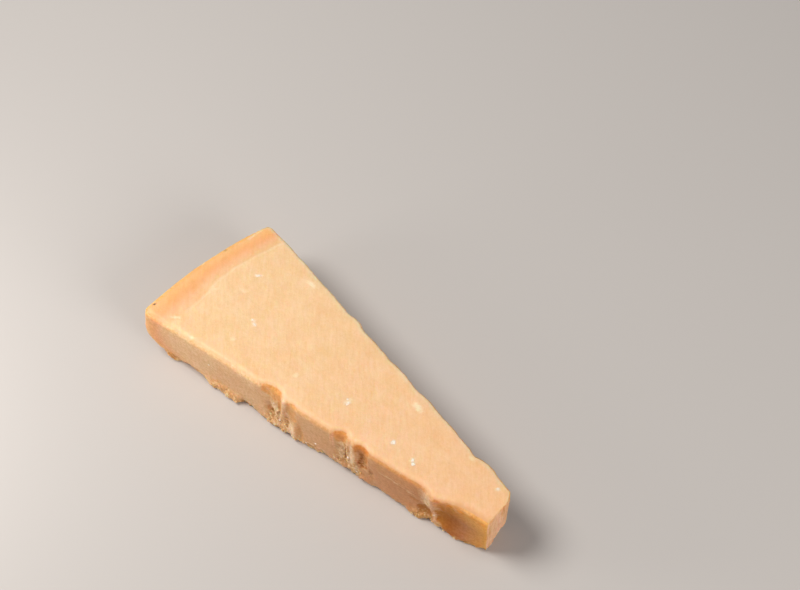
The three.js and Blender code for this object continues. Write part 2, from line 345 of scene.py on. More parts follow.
def smooth_share(start, end, value):
    """Rises smoothly from 0 at the start to 1 at the end."""
    share = min(1.0, max(0.0, (value - start) / (end - start)))
    return share * share * (3.0 - 2.0 * share)


def curve_value(points, at):
    """The value at one place of a smooth curve through points, level beyond its ends."""
    at = min(points[-1][0], max(points[0][0], at))
    i = min(len(points) - 2, max(0, bisect_right(points, (at, 1e9)) - 1))
    (start, low_value), (end, high_value) = points[i], points[i + 1]
    before, after = points[max(0, i - 1)], points[min(len(points) - 1, i + 2)]
    run = end - start
    slope_in = (high_value - before[1]) / (end - before[0]) * run
    slope_out = (after[1] - low_value) / (after[0] - start) * run
    t = (at - start) / run
    return (
        (2 * t**3 - 3 * t**2 + 1) * low_value
        + (t**3 - 2 * t**2 + t) * slope_in
        + (3 * t**2 - 2 * t**3) * high_value
        + (t**3 - t**2) * slope_out
    )


def outward(side):
    """The level direction that a side faces."""
    return Vector((math.sin(side.slope), side.facing * math.cos(side.slope), 0.0))


def depth_inside(side, along, across):
    """How far a place lies inside the flat cut plane of a side, in millimetres."""
    plane = side.start - side.facing * along * math.tan(side.slope)
    return (plane - across) * side.facing * math.cos(side.slope)


def bulge_height(side, along):
    """How far a side's cut plane bulges out at a place along it."""
    middle, half_length, height = side.bulge
    return height * (1.0 - smooth_share(0.3, 1.0, abs(along - middle) / half_length))


def raggedness(side, along, up):
    """Uneven shifts that make an outline ragged, about -0.4 to 0.4."""
    spot = Vector((along, 20.0 * side.facing, up))
    return sum(shift * noise.noise(spot / size) for size, shift in RAGGED)


def scoop_share(scoop, along, up, wander):
    """How much of a scoop's depth a place has."""
    reach_along = scoop.to_rind if along < scoop.along else scoop.to_tip
    reach_up = scoop.below if up < scoop.up else scoop.above
    far = ((along - scoop.along) / reach_along) ** 2 + ((up - scoop.up) / reach_up) ** 2
    return smooth_share(0.0, SCOOP_WALL, 1.0 - far + SCOOP_WANDER * wander)


def smear_share(smear, along, other, wander):
    """How strong a smear is at a place."""
    apart = Vector((along - smear.along, other - smear.other))
    apart.rotate(Matrix.Rotation(-math.radians(smear.turn), 2))
    far = math.hypot(apart.x / smear.length, apart.y / smear.width) + wander
    return smear.strength * (1.0 - smooth_share(0.35, 1.15, far))


def crumbly_share(side, along, up, wander):
    """How crumbly a side is at a place. Its foot is crumbly all along."""
    foot = FOOT_HEIGHT * (0.7 + 2.0 * wander)
    share = 0.8 * (1.0 - smooth_share(0.25 * foot, foot, up)) if foot > 0.0 else 0.0
    for place in side.crumbly:
        far = math.hypot((along - place.along) / place.half_length, (up - place.up) / place.half_height)
        share = max(share, place.rough * (1.0 - smooth_share(0.4, 1.05, far + wander)))
    return share


def line_distance(along, up, points):
    """Distance to a line of points, which side of it the place is on, and the share along it."""
    spot = Vector((along, up))
    nearest, above, share = 1e9, 1.0, 0.0
    for i, (start, end) in enumerate(zip(points, points[1:])):
        start, end = Vector(start), Vector(end)
        run = end - start
        part = max(0.0, min(1.0, (spot - start).dot(run) / run.length_squared))
        away = spot - start - run * part
        if away.length < nearest:
            nearest = away.length
            above = 1.0 if run.x * away.y - run.y * away.x > 0.0 else -1.0
            share = (i + part) / (len(points) - 1)
    return nearest, above, share


def lump_height(point):
    """Flat tilted lumps packed side by side, as brittle paste breaks, about -1 to 1."""
    where = Vector((0.7 * point.x, point.y, point.z)) / (LUMP_SIZE * MM)
    distances, corners = noise.voronoi(where)
    heights = []
    for corner in corners[:2]:
        tilt = noise.noise_vector(corner * 7.31)
        heights.append(noise.noise(corner * 3.17) + (where - corner).dot(tilt))
    share = 0.5 + 0.5 * smooth_share(0.0, 0.22, distances[1] - distances[0])
    return heights[0] * share + heights[1] * (1.0 - share)


def rind_retreat(up):
    """How far the rind lies inside its top edge at a height."""
    under = max(0.0, SHOULDER - up) / SHOULDER
    return SHOULDER * under**SHOULDER_POWER - RIND_BULGE * math.sin(math.pi * up / THICKNESS)


def rind_depth(point):
    """How deep under the skin of the wheel a point lies, in millimetres."""
    up = (point.z - low.z) / MM
    under = max(0.0, SHOULDER - up) / SHOULDER
    steepness = SHOULDER_POWER * under ** (SHOULDER_POWER - 1.0)
    radius = (point.xy / MM - RIND_MIDDLE).length
    return (RIND_RADIUS - rind_retreat(up) - radius) / math.hypot(1.0, steepness)


def band_width(across):
    """How wide the rind's band on the top is at a place across the chunk."""
    return RIND_THICKNESS + RIND_WIDENING * (1.0 - smooth_share(-13.0, 2.0, across))


def band_line_highlight_share(depth, across):
    """How strong the painted highlight along the band's inner edge is. It is fainter towards the front."""
    line = max(0.0, 1.0 - abs(depth - band_width(across)) / BAND_LINE_HIGHLIGHT_WIDTH)
    return BAND_LINE_HIGHLIGHT * line * (0.3 + 0.7 * smooth_share(-22.0, -8.0, across))


def piece_from(bm, name):
    """Makes a piece of a bmesh, which it frees."""
    mesh = bpy.data.meshes.new(name)
    bm.to_mesh(mesh)
    bm.free()
    piece = bpy.data.objects.new(name, mesh)
    scene.collection.objects.link(piece)
    return piece


def even_mesh_copy(node, name):
    """A copy of a CAD node, merged and given an even mesh."""
    bm = bmesh.new()
    bm.from_mesh(node.data)
    bmesh.ops.remove_doubles(bm, verts=bm.verts, dist=1e-6)
    piece = piece_from(bm, name)
    remesh = piece.modifiers.new("Even mesh", "REMESH")
    remesh.mode = "VOXEL"
    remesh.voxel_size = MESH_STEP
    graph = bpy.context.evaluated_depsgraph_get()
    piece.data = bpy.data.meshes.new_from_object(piece.evaluated_get(graph))
    piece.modifiers.clear()
    return piece


def relax(bm, times):
    """Smooths a whole mesh a number of times."""
    for _ in range(times):
        bmesh.ops.smooth_vert(
            bm, verts=bm.verts, factor=0.5, use_axis_x=True, use_axis_y=True, use_axis_z=True
        )


def place_of(point):
    """A point's place along, across and up, in millimetres."""
    return (point.x - low.x) / MM, point.y / MM, (point.z - low.z) / MM


def side_of(vert):
    """The side a vertex belongs to, and how squarely it faces that way."""
    side = FRONT if vert.normal.y < 0.0 else BACK
    return side, smooth_share(0.45, 0.8, vert.normal.dot(outward(side)))


def keep_in_box(bm):
    """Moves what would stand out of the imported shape's box back to its faces."""
    for vert in bm.verts:
        vert.co = Vector(min(end, max(start, value)) for value, start, end in zip(vert.co, low, high))


paste = even_mesh_copy(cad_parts["chunk"], "paste")
bm = bmesh.new()
bm.from_mesh(paste.data)
relax(bm, 1)
bm.normal_update()
cut_block = BVHTree.FromBMesh(bm)


def hit_from_outside(tree, side, along, up):
    """Where a side of a mesh lies at one place, and which way it faces there."""
    across = side.start - side.facing * along * math.tan(side.slope)
    away = 15.0 * MM
    start = Vector((low.x + along * MM, across * MM, low.z + up * MM)) + outward(side) * away
    spot, normal, _, _ = tree.ray_cast(start, -outward(side))
    return spot, normal


# A side is measured no nearer to its edges than this.
MEASURE_MARGIN = 0.8


def packed_depth(side, along, up):
    """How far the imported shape's side lies inside its bulging cut plane at a place."""
    up = min(THICKNESS - MEASURE_MARGIN, max(MEASURE_MARGIN, up))
    spot, _ = hit_from_outside(cut_block, side, along, up)
    if spot is None:
        return 0.0
    return depth_inside(side, (spot.x - low.x) / MM, spot.y / MM) + bulge_height(side, along)


def depth_change(side, along, up, packed):
    """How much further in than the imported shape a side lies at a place, before its scoops."""
    change = 0.0
    if side.stations:
        levels = [
            (height, curve_value([(place, depths[i]) for place, depths in side.stations], along))
            for i, height in enumerate(STATION_HEIGHTS)
        ]
        change = (curve_value(levels, up) - packed) * smooth_share(3.0, 7.0, up)
    if side.top:
        change += curve_value(side.top, along) * smooth_share(8.0, 22.0, up)
    change += curve_value(side.foot, along) * (1.0 - smooth_share(2.0, 8.0, up))
    return change * smooth_share(8.0, 14.0, along) * (1.0 - smooth_share(168.0, 171.5, along))


def roughness_at(vert):
    """How crumbly the paste is at a vertex of a side, 0 elsewhere."""
    side, share = side_of(vert)
    if share == 0.0:
        return 0.0
    along, _, up = place_of(vert.co)
    return share * crumbly_share(side, along, up, raggedness(side, along, up))


# The mesh is made finer where the paste broke into more than faint grains.
FAINT_GRAINS = 0.14
crumbled = {vert for vert in bm.verts if roughness_at(vert) > FAINT_GRAINS}
bmesh.ops.subdivide_edges(
    bm,
    edges=[edge for edge in bm.edges if edge.verts[0] in crumbled and edge.verts[1] in crumbled],
    cuts=1,
    use_grid_fill=True,
)
bmesh.ops.triangulate(bm, faces=[face for face in bm.faces if len(face.verts) > 4])
bm.normal_update()

# First whole stretches of a side are pushed in or out, with the rim of the top or base that they
# reach, and the long edges of the top are worn round.
rough = [roughness_at(vert) for vert in bm.verts]
facing_side = [side_of(vert) for vert in bm.verts]
facing_up = [smooth_share(0.5, 0.9, vert.normal.z) for vert in bm.verts]
facing_tip = [smooth_share(0.6, 0.9, vert.normal.x) for vert in bm.verts]
rim = [4.0 * share * (1.0 - share) for share in facing_up]
sunk = [0.0] * len(bm.verts)
edge = [0.0] * len(bm.verts)
pale = [0.0] * len(bm.verts)
for vert in bm.verts:
    along, across, up = place_of(vert.co)
    move = Vector()
    for side in (FRONT, BACK):
        inside = depth_inside(side, along, across)
        reach = 1.0 - smooth_share(WARP_FULL, WARP_REACH, inside)
        if reach > 0.0:
            packed = packed_depth(side, along, up)
            change = depth_change(side, along, up, packed)
            wander = raggedness(side, along, up)
            shares = [scoop_share(scoop, along, up, wander) for scoop in side.scoops]
            bowl = max(scoop.depth * share for scoop, share in zip(side.scoops, shares))
            torn = wander * smooth_share(0.1, 0.8, abs(packed + change)) * smooth_share(24.0, 30.0, along)
            wave = noise.noise(Vector((along / 3.4, side.facing, up / 5.0))) + 0.1
            wave += 0.5 * noise.noise(Vector((along / 1.3, side.facing, up / 2.5)))
            foot = FOOT_WAVE * wave * (1.0 - smooth_share(1.2, 5.0, up)) * smooth_share(8.0, 14.0, along)
            move -= outward(side) * ((change + bowl + torn + foot) * reach * MM)
            from_side = inside + bulge_height(side, along) - packed
            edge_round = curve_value(side.edge_round, along)
            worn = max(0.0, 1.0 - max(0.0, from_side) / edge_round)
            if side is FRONT and up > THICKNESS / 2:
                edge[vert.index] = EDGE_TONE * smooth_share(0.0, 0.9, worn)
            # Painted highlight along the top's back edge.
            if side is BACK:
                edge_highlight = BACK_EDGE_HIGHLIGHT * (1.0 - smooth_share(0.0, BACK_EDGE_HIGHLIGHT_WIDTH, from_side))
                pale[vert.index] = edge_highlight * facing_up[vert.index]
            worn *= max(0.0, 1.0 - (THICKNESS - up) / edge_round)
            move -= (outward(side) + Vector((0.0, 0.0, 1.0))) * (CORNER_LOSS * edge_round * worn**2 * MM)
            if side is facing_side[vert.index][0]:
                tone = max(scoop.tone * min(1.0, 1.7 * share) for scoop, share in zip(side.scoops, shares))
                sunk[vert.index] = tone * facing_side[vert.index][1]
    vert.co += move
bm.normal_update()

# Then the fine relief of the sides: grains, thin flakes, parted layers and a chipped top edge.
moves = []
for vert in bm.verts:
    i = vert.index
    along, across, up = place_of(vert.co)
    side, facing = facing_side[i]
    proud = 0.0
    if facing > 0.0:
        proud = facing * SWELL_HEIGHT * noise.noise(vert.co / (SWELL_SIZE * MM))
        if rough[i] > 0.01:
            fine = noise.noise(vert.co / (GRAIN_SIZE * MM))
            fine += 0.5 * noise.noise(vert.co / (0.5 * GRAIN_SIZE * MM))
            proud += rough[i] * (LUMP_DEPTH * (lump_height(vert.co) - 0.3) + GRAIN_DEPTH * fine)
        for ridge in side.ridges:
            shift = 0.9 * noise.noise(vert.co / (1.8 * MM))
            away, _, share = line_distance(along + shift, up, ridge.points)
            crest = max(0.0, 1.0 - away / ridge.width) * (1.0 - 0.5 * abs(2.0 * share - 1.0))
            crest *= facing * (0.7 + 0.6 * noise.noise(vert.co / (2.2 * MM)))
            proud += ridge.height * crest
            pale[i] = max(pale[i], 0.7 * crest)
        for layer in side.layers:
            shift = 0.5 * noise.noise(vert.co / (2.5 * MM)) + 0.25 * noise.noise(vert.co / (0.9 * MM))
            away, above, share = line_distance(along, up + shift, layer.points)
            fade = facing * smooth_share(0.0, 0.15, share) * (1.0 - smooth_share(0.9, 1.0, share))
            lip = math.exp(-away / LIP_FADE) if above > 0.0 else 0.0
            notch = max(0.0, 1.0 - away / NOTCH_WIDTH) if above < 0.0 else 0.0
            proud += layer.step * (lip - notch) * fade
            # A painted highlight line along the lip.
            if above > 0.0:
                pale[i] = max(pale[i], 0.5 * fade * max(0.0, 1.0 - away / LIP_HIGHLIGHT_WIDTH))
        for smear in side.smears:
            wander = 0.45 * noise.noise(vert.co / (1.2 * MM))
            pale[i] = max(pale[i], facing * smear_share(smear, along, up, wander))
    if rim[i] > 0.0 and up > THICKNESS / 2:
        chip = smooth_share(0.12, 0.45, noise.noise(vert.co / (CHIP_SIZE * MM)))
        proud -= CHIP_DEPTH * chip * rim[i]
        pale[i] = max(pale[i], 0.5 * chip * rim[i])
    moves.append(vert.normal * (proud * MM))

# Last the flat faces: the rind's band has sunk a little, the top isn't quite flat, and the tip
# was split, which left upright furrows.
tip_corner = Vector((high.x, (BACK.start - (high.x - low.x) / MM * math.tan(BACK.slope)) * MM, low.z))
for vert, move in zip(bm.verts, moves):
    i = vert.index
    vert.co += move
    along, across, up = place_of(vert.co)
    if facing_up[i] > 0.0 and up > THICKNESS / 2:
        depth = rind_depth(vert.co) + 0.5 * noise.noise(vert.co / (7.0 * MM))
        inner_edge = band_width(across)
        down = RIND_SINK * (1.0 - smooth_share(inner_edge - 0.7, inner_edge + 0.3, depth))
        down += TOP_SINK
        down += sum(height * noise.noise(vert.co / (size * MM)) for size, height in TOP_WAVES)
        # Painted highlight line where the rind's band ends.
        pale[i] = max(pale[i], facing_up[i] * band_line_highlight_share(depth, across))
        wander = 0.5 * noise.noise(vert.co / (0.9 * MM))
        for smear in TOP_SMEARS:
            pale[i] = max(pale[i], smear_share(smear, along, across, wander))
        vert.co.z -= down * facing_up[i] * MM
    if facing_tip[i] > 0.0:
        furrow = noise.noise(Vector((3.1, across / 1.3, up / 16.0)))
        furrow += 0.5 * noise.noise(Vector((9.7, across / 0.7, up / 9.0)))
        vert.co.x -= facing_tip[i] * FURROW_DEPTH * (0.7 + furrow) * MM
    far = (vert.co - tip_corner).length / MM + 1.5 * noise.noise(vert.co / (3.0 * MM))
    vert.co += TIP_CHIP_MOVE * (MM * (1.0 - smooth_share(0.15, 1.0, far / TIP_CHIP_REACH)))
keep_in_box(bm)
bm.normal_update()

# How far each place lies in a hollow or, below zero, on a crest, in millimetres, told by how far
# it moves when the mesh is smoothed.
SMOOTHINGS = 8
relaxed = bm.copy()
relax(relaxed, SMOOTHINGS)
relaxed.verts.ensure_lookup_table()
hollow = [(relaxed.verts[vert.index].co - vert.co).dot(vert.normal) / MM for vert in bm.verts]
relaxed.free()

skin_depth = [rind_depth(vert.co) for vert in bm.verts]
skin = []
holes = []
for vert in bm.verts:
    depth = skin_depth[vert.index]
    from_middle = (vert.co.xy - RIND_MIDDLE * MM).normalized()
    droop = -0.9 * max(0.0, 1.0 - (vert.co.z - low.z) / (SHOULDER * MM))
    skin_out = Vector((*from_middle, droop)).normalized()
    skin.append(smooth_share(0.55, 0.8, vert.normal.dot(skin_out)) * (1.0 - smooth_share(1.2, 2.5, depth)))
    near_top = 1.0 - smooth_share(0.4, 1.6, (high.z - vert.co.z) / MM)
    share = 0.0
    for across, inward, darkness in RIND_HOLES:
        away = math.hypot(vert.co.y / MM - across, depth - inward)
        share = max(share, darkness * (1.0 - smooth_share(0.4 * HOLE_SIZE, HOLE_SIZE, away)))
    holes.append(near_top * share)
for vert in bm.verts:
    vert.co -= vert.normal * (HOLE_DEPTH * holes[vert.index] * MM)
band_share = [depth / band_width(vert.co.y / MM) for vert, depth in zip(bm.verts, skin_depth)]
bm.to_mesh(paste.data)
bm.free()

# What the finish needs to know of each place.
painted = {
    "broken": rough,
    "sunk": sunk,
    "side": [max(facing, tip) for (_, facing), tip in zip(facing_side, facing_tip)],
    "tip": facing_tip,
    "edge": edge,
    "level": facing_up,
    "pale": pale,
    "hollow": hollow,
    "band": band_share,
    "skin": skin,
    "hole": holes,
}
for name, values in painted.items():
    attribute = paste.data.attributes.new(name, "FLOAT", "POINT")
    attribute.data.foreach_set("value", values)
paste.data.shade_smooth()


def linear(code):
    """A colour from sRGB hex to linear."""
    parts = [int(code[i:i + 2], 16) / 255 for i in (1, 3, 5)]
    return tuple(p / 12.92 if p <= 0.04045 else ((p + 0.055) / 1.055) ** 2.4 for p in parts) + (1.0,)


def new_material(name):
    """A material with no nodes yet, and its node tree."""
    material = bpy.data.materials.new(name)
    material.use_nodes = True
    material.node_tree.nodes.clear()
    return material, material.node_tree


def add_node(tree, kind, inputs=(), stops=(), **settings):
    """Adds a node. An input takes a value, or a node and its output to link from."""
    made = tree.nodes.new(kind)
    for name, value in settings.items():
        setattr(made, name, value)
    for name, value in dict(inputs).items():
        if isinstance(value, tuple) and isinstance(value[0], bpy.types.Node):
            tree.links.new(value[0].outputs[value[1]], made.inputs[name])
        else:
            made.inputs[name].default_value = value
    for i, (position, colour) in enumerate(stops):
        element = made.color_ramp.elements[i] if i < 2 else made.color_ramp.elements.new(position)
        element.position, element.color = position, linear(colour)
    return made


# Aged hard cheese: matt, cream to peach, a little see-through, so that thin edges and hollows
# glow orange. A blade leaves fine drag lines on it, a break leaves deep orange grains with
# pale powdery crests, and outwards it dries to the orange of the rind. Part of the orange under
# edges and in hollows is painted glow and painted shade, and part of the crests' paleness is a
# painted highlight.
material, tree = new_material("Aged hard cheese, cut and broken")
place = add_node(tree, "ShaderNodeTexCoord")
shares = {
    name: (add_node(tree, "ShaderNodeAttribute", attribute_name=name), "Fac") for name in painted
}

# The drag lines run across the chunk at a slant, a millimetre or so apart and ten long.
DRAG_TURN = math.radians(133.0)
drag = add_node(
    tree,
    "ShaderNodeMapping",
    {"Vector": (place, "Object"), "Rotation": (0.0, 0.0, DRAG_TURN), "Scale": (6.0, 1.0, 6.0)},
    vector_type="TEXTURE",
)
drag_lines = add_node(
    tree,
    "ShaderNodeTexNoise",
    {"Vector": (drag, "Vector"), "Scale": 1 / (1.3 * MM), "Detail": 3.0, "Roughness": 0.7},
)
mottle = add_node(
    tree,
    "ShaderNodeTexNoise",
    {"Vector": (place, "Object"), "Scale": 1 / (8 * MM), "Detail": 5.0, "Roughness": 0.85},
)
grains = add_node(
    tree,
    "ShaderNodeTexNoise",
    {"Vector": (place, "Object"), "Scale": 1 / (1.2 * MM), "Detail": 3.0, "Roughness": 0.8},
)
grit = add_node(
    tree, "ShaderNodeTexNoise", {"Vector": (place, "Object"), "Scale": 1 / (0.5 * MM), "Detail": 2.0}
)

# The paste is paler near the rind, where it dried, and more orange towards the tip. A side is
# a little deeper in tone than the top and darker towards the tip, partly painted shade where
# less light reaches it, and brighter again in the last millimetres under its edge, a painted glow
# of light that comes through. The deepest tones are in the breaks: the deep orange of fresh
# paste, partly painted shade in the hollows and lighter under the top edge as a painted glow.
spot = add_node(tree, "ShaderNodeSeparateXYZ", {"Vector": (place, "Object")})
towards_tip = add_node(
    tree, "ShaderNodeMapRange", {"Value": (spot, "X"), "From Min": -85 * MM, "From Max": 85 * MM}
)
top_tone = add_node(
    tree,
    "ShaderNodeValToRGB",
    {"Fac": (towards_tip, "Result")},
    stops=[(0.1, "#f1cfa4"), (0.95, "#f5cba1")],
)
# The side's own tone, darker towards the tip partly as painted shade.
side_tone_and_shade = add_node(
    tree,
    "ShaderNodeValToRGB",
    {"Fac": (towards_tip, "Result")},
    stops=[(0.1, "#f0c9a1"), (1.0, "#d89c6c"), (0.3, "#ebc096"), (0.53, "#e5b488"), (0.75, "#d79b6e")],
)
# Painted glow under a side's top edge.
rim_tone = add_node(
    tree,
    "ShaderNodeValToRGB",
    {"Fac": (towards_tip, "Result")},
    stops=[
        (0.1, "#f4d0a6"),
        (1.0, "#fabc66"),
        (0.3, "#f8d4ac"),
        (0.6, "#e6b480"),
        (0.8, "#dfa26a"),
        (0.89, "#dc9c60"),
        (0.95, "#fcc484"),
    ],
)
# Deep orange of fresh paste in the scoops, partly painted shade in the hollows.
deep_tone_and_shade = add_node(
    tree,
    "ShaderNodeValToRGB",
    {"Fac": (towards_tip, "Result")},
    stops=[
        (0.4, "#ecaf67"),
        (1.0, "#ecb062"),
        (0.606, "#f6b270"),
        (0.65, "#b66a2c"),
        (0.87, "#cc883c"),
        (0.908, "#b8743a"),
        (0.945, "#c98a60"),
    ],
)
# The same near the top edge, lighter as a painted glow.
deep_rim_glow_and_shade = add_node(
    tree,
    "ShaderNodeValToRGB",
    {"Fac": (towards_tip, "Result")},
    stops=[
        (0.4, "#f0ac60"),
        (1.0, "#ffbc67"),
        (0.6, "#f6a85e"),
        (0.65, "#dc8c44"),
        (0.87, "#ee9838"),
        (0.94, "#ffb75d"),
    ],
)
under_rim = add_node(
    tree, "ShaderNodeMapRange", {"Value": (spot, "Z"), "From Min": 19 * MM, "From Max": 28.5 * MM}
)
low_under_rim = add_node(
    tree, "ShaderNodeMapRange", {"Value": (spot, "Z"), "From Min": 15 * MM, "From Max": 29 * MM}
)
deepened = add_node(
    tree,
    "ShaderNodeMix",
    {0: (low_under_rim, "Result"), 6: (deep_tone_and_shade, "Color"), 7: (deep_rim_glow_and_shade, "Color")},
    data_type="RGBA",
)
sided = add_node(
    tree, "ShaderNodeMix", {0: (under_rim, "Result"), 6: (side_tone_and_shade, "Color"), 7: (rim_tone, "Color")},
    data_type="RGBA",
)
# The split tip is pinkish, with golden lines down its furrows.
furrows = add_node(
    tree,
    "ShaderNodeMapping",
    {"Vector": (place, "Object"), "Scale": (1.0, 1.0, 12.0)},
    vector_type="TEXTURE",
)
furrow_lines = add_node(
    tree,
    "ShaderNodeTexNoise",
    {"Vector": (furrows, "Vector"), "Scale": 1 / (1.8 * MM), "Detail": 2.0, "Roughness": 0.6},
)
tip_tone = add_node(
    tree,
    "ShaderNodeValToRGB",
    {"Fac": (furrow_lines, "Fac")},
    stops=[(0.36, "#e2a866"), (0.6, "#ffcba8")],
)
tipped = add_node(
    tree, "ShaderNodeMix", {0: shares["tip"], 6: (sided, 2), 7: (tip_tone, "Color")}, data_type="RGBA"
)
edged = add_node(
    tree,
    "ShaderNodeMix",
    {0: shares["edge"], 6: (top_tone, "Color"), 7: (side_tone_and_shade, "Color")},
    data_type="RGBA",
)
face_tone = add_node(
    tree, "ShaderNodeMix", {0: shares["side"], 6: (edged, 2), 7: (tipped, 2)}, data_type="RGBA"
)
opened = add_node(
    tree,
    "ShaderNodeMix",
    {0: shares["sunk"], 6: (face_tone, 2), 7: (deepened, 2)},
    data_type="RGBA",
)

# The rind's band as a tint over the paste: deepest a few millimetres in, ending at 1 / 1.2 of
# the ramp, where the pale share lays a painted highlight line. It is a little weaker at the front.
band_place = add_node(tree, "ShaderNodeMapRange", {"Value": shares["band"], "From Max": 1.2})
band = add_node(
    tree,
    "ShaderNodeValToRGB",
    {"Fac": (band_place, "Result")},
    stops=[
        (0.0, "#f6dcaa"),
        (0.90, "#ffffff"),
        (0.07, "#fbe6ba"),
        (0.14, "#fdeacc"),
        (0.22, "#ffe6c2"),
        (0.32, "#ffdcb9"),
        (0.43, "#ffdcc4"),
        (0.54, "#ffe6dc"),
        (0.70, "#fef2e8"),
        (0.82, "#fcf1e4"),
    ],
)
band_strength = add_node(
    tree,
    "ShaderNodeMapRange",
    {"Value": (spot, "Y"), "From Min": -32 * MM, "From Max": 5 * MM, "To Min": 0.85, "To Max": 0.88},
)
banded = add_node(
    tree,
    "ShaderNodeMix",
    {0: (band_strength, "Result"), 6: (opened, 2), 7: (band, "Color")},
    data_type="RGBA",
    blend_type="MULTIPLY",
)

# Hollows of a break are painted deeper orange and crests paler: the grains' own tone with painted shade
# and painted highlight.
relief_place = add_node(
    tree, "ShaderNodeMapRange", {"Value": shares["hollow"], "From Min": -0.22, "From Max": 0.22}
)
grain_tone_and_relief_light = add_node(
    tree,
    "ShaderNodeValToRGB",
    {"Fac": (relief_place, "Result")},
    stops=[(0.0, "#fde4bc"), (1.0, "#bc7a3c"), (0.45, "#efc08c")],
)
half_broken = add_node(tree, "ShaderNodeMath", {0: shares["broken"], 1: 0.7}, operation="MULTIPLY")
grain_and_relief_laid = add_node(
    tree,
    "ShaderNodeMix",
    {0: (half_broken, "Value"), 6: (banded, 2), 7: (grain_tone_and_relief_light, "Color")},
    data_type="RGBA",
)
# Clumps a few millimetres across that broke dark or pale, stronger than their relief alone.
clumps = add_node(
    tree,
    "ShaderNodeTexNoise",
    {
        "Vector": (place, "Object"),
        "Scale": 1 / (2.4 * MM),
        "Detail": 4.0,
        "Roughness": 0.75,
        "Distortion": 0.6,
    },
)
clump_tone = add_node(
    tree,
    "ShaderNodeValToRGB",
    {"Fac": (clumps, "Fac")},
    stops=[(0.38, "#94561f"), (0.62, "#ffe8ca"), (0.45, "#ce9156"), (0.54, "#f1c696")],
)
clump_share = add_node(tree, "ShaderNodeMath", {0: shares["broken"], 1: 0.75}, operation="MULTIPLY")
clumped = add_node(
    tree,
    "ShaderNodeMix",
    {0: (clump_share, "Value"), 6: (grain_and_relief_laid, 2), 7: (clump_tone, "Color")},
    data_type="RGBA",
)
# Powder, and the painted highlights laid the same way, is cream on the top and pinker on the sides.
powder_and_highlight_tone = add_node(
    tree,
    "ShaderNodeMix",
    {0: shares["side"], 6: linear("#fcebcf"), 7: linear("#fbdcbe")},
    data_type="RGBA",
)
powder_and_highlight_laid = add_node(
    tree,
    "ShaderNodeMix",
    {0: shares["pale"], 6: (clumped, 2), 7: (powder_and_highlight_tone, 2)},
    data_type="RGBA",
)
skin_tone = add_node(
    tree,
    "ShaderNodeValToRGB",
    {"Fac": (mottle, "Fac")},
    stops=[(0.3, "#c98846"), (0.7, "#dfa45e")],
)
skinned = add_node(
    tree,
    "ShaderNodeMix",
    {0: shares["skin"], 6: (powder_and_highlight_laid, 2), 7: (skin_tone, "Color")},
    data_type="RGBA",
)
# The holes are painted dark brown: painted shade inside them.
pitted = add_node(
    tree, "ShaderNodeMix", {0: shares["hole"], 6: (skinned, 2), 7: linear("#5a3418")}, data_type="RGBA"
)

# Soft patches and drag lines, and finer grains on the sides, as shades over all of it.
patches = add_node(
    tree, "ShaderNodeMix", {0: 0.35, 2: (mottle, "Fac"), 3: (drag_lines, "Fac")}, data_type="FLOAT"
)
patch_shade = add_node(
    tree, "ShaderNodeValToRGB", {"Fac": (patches, 0)}, stops=[(0.36, "#f6edda"), (0.62, "#ffffff")]
)
patched = add_node(
    tree,
    "ShaderNodeMix",
    {0: 1.0, 6: (pitted, 2), 7: (patch_shade, "Color")},
    data_type="RGBA",
    blend_type="MULTIPLY",
)
grain_shade = add_node(
    tree, "ShaderNodeValToRGB", {"Fac": (grains, "Fac")}, stops=[(0.36, "#f2e5d0"), (0.62, "#ffffff")]
)
colour = add_node(
    tree,
    "ShaderNodeMix",
    {0: shares["side"], 6: (patched, 2), 7: (grain_shade, "Color")},
    data_type="RGBA",
    blend_type="MULTIPLY",
)

grain_value = add_node(
    tree,
    "ShaderNodeMapRange",
    {"Value": (grains, "Fac"), "From Min": 0.35, "From Max": 0.65, "To Min": 0.96, "To Max": 1.04},
)
grain_strength = add_node(tree, "ShaderNodeMapRange", {"Value": shares["side"], "To Min": 0.3})
speckled = add_node(
    tree,
    "ShaderNodeHueSaturation",
    {"Color": (colour, 2), "Value": (grain_value, "Result"), "Fac": (grain_strength, "Result")},
)

drag_bump = add_node(
    tree,
    "ShaderNodeBump",
    {"Height": (drag_lines, "Fac"), "Strength": shares["level"], "Distance": 0.1 * MM},
)
grain_bump = add_node(
    tree,
    "ShaderNodeBump",
    {"Height": (grains, "Fac"), "Normal": (drag_bump, "Normal"), "Strength": 0.5, "Distance": 0.16 * MM},
)
grit_bump = add_node(
    tree,
    "ShaderNodeBump",
    {
        "Height": (grit, "Fac"),
        "Normal": (grain_bump, "Normal"),
        "Strength": shares["broken"],
        "Distance": 0.25 * MM,
    },
)
dullness = add_node(tree, "ShaderNodeMapRange", {"Value": shares["broken"], "To Min": 0.5, "To Max": 0.75})
glow = add_node(tree, "ShaderNodeMapRange", {"Value": shares["broken"], "To Min": 0.8, "To Max": 0.45})
# A torn face is too rough to shine.
sheen = add_node(tree, "ShaderNodeMapRange", {"Value": shares["sunk"], "To Min": 0.45, "To Max": 0.1})
shader = add_node(
    tree,
    "ShaderNodeBsdfPrincipled",
    {
        "Base Color": (speckled, "Color"),
        "Roughness": (dullness, "Result"),
        "IOR": 1.45,
        "Specular IOR Level": (sheen, "Result"),
        "Normal": (grit_bump, "Normal"),
        "Subsurface Weight": (glow, "Result"),
        "Subsurface Radius": (1.0, 0.45, 0.2),
        "Subsurface Scale": 4.5 * MM,
    },
)
add_node(tree, "ShaderNodeOutputMaterial", {"Surface": (shader, "BSDF")})
paste.data.materials.append(material)
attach(paste, "root")
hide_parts("chunk")


# --- The white crystals -----------------------------------------------------------------------
# Hard white flecks that form in the paste as it ages, cut flush by the blade or left standing
# in a break. Each is an uneven lump, set into the paste for most of its depth.

